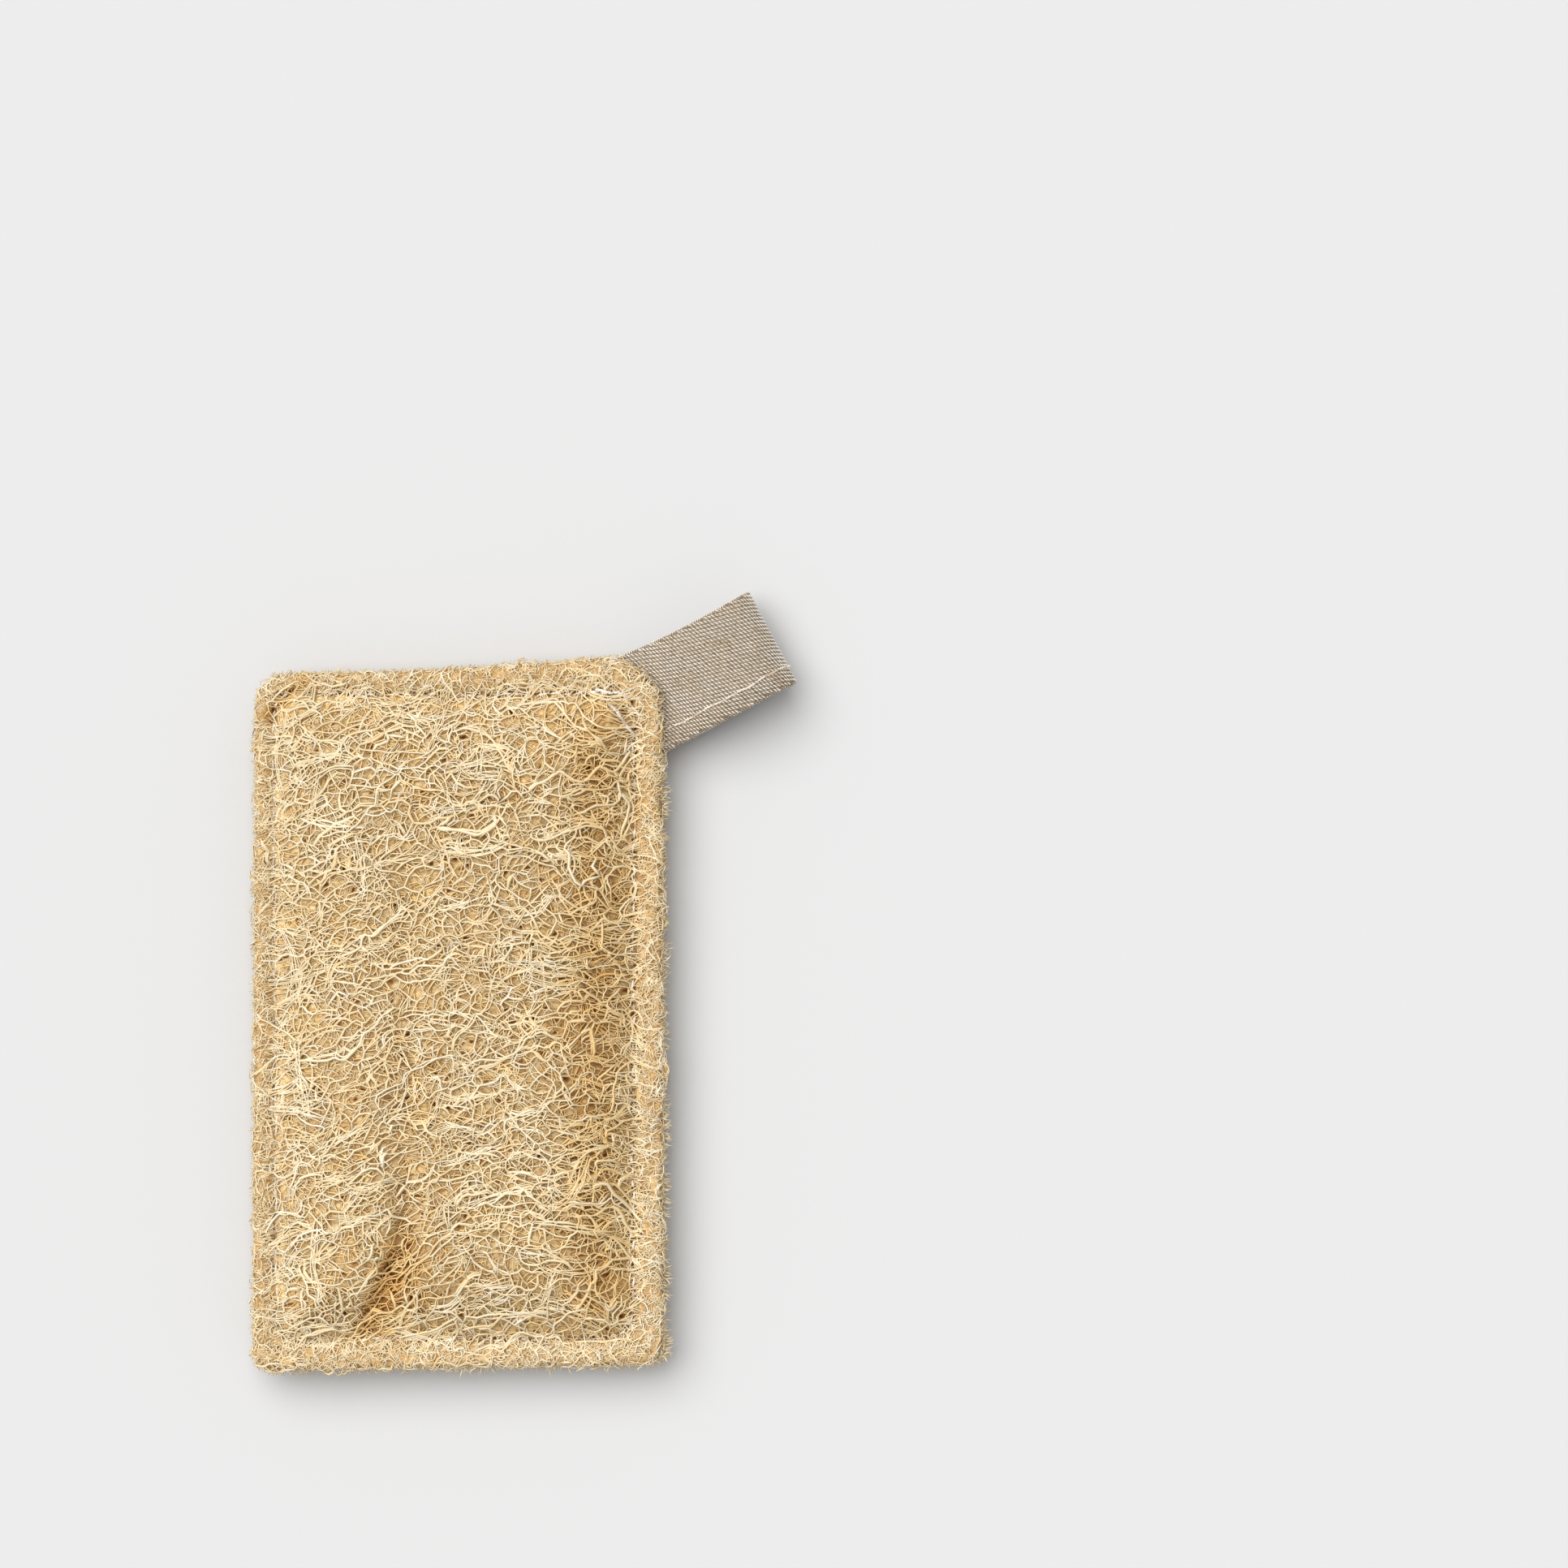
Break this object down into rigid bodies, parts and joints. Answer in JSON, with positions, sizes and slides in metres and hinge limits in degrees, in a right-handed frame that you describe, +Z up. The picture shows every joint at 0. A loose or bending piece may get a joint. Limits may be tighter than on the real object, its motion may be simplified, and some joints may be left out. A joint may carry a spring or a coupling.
{
  "type": "natural loofah scrub pad with hanging loop",
  "caption": "Flat scrub pad of two loofah layers sewn together round the edge, pinched at the seam and puffed in the middle, with a folded twill strap caught in one corner to hang it by.",
  "frame": {"origin": "on the face that the pad rests on, under the middle of the pad's body, with the loop left out", "axes": "+Z up out of the pad's front, +Y along the pad's long side towards the end that carries the loop, +X towards the long side that the loop's corner is on"},
  "size_m": [0.1059, 0.1514, 0.0202],
  "materials": {
    "loofah": "dry matte plant fibre, straw coloured",
    "twill_strap": "matte greige twill",
    "sewing_thread": "slightly glossy off-white sewing thread"
  },
  "bodies": {
    "root": {"front_panel": "loofah", "back_panel": "loofah", "hanging_loop": "twill_strap", "front_seam_thread": "sewing_thread", "back_seam_thread": "sewing_thread", "front_tack_thread": "sewing_thread", "back_tack_thread": "sewing_thread", "loop_outer_stitch": "sewing_thread", "loop_inner_stitch": "sewing_thread"}
  },
  "joints": []
}
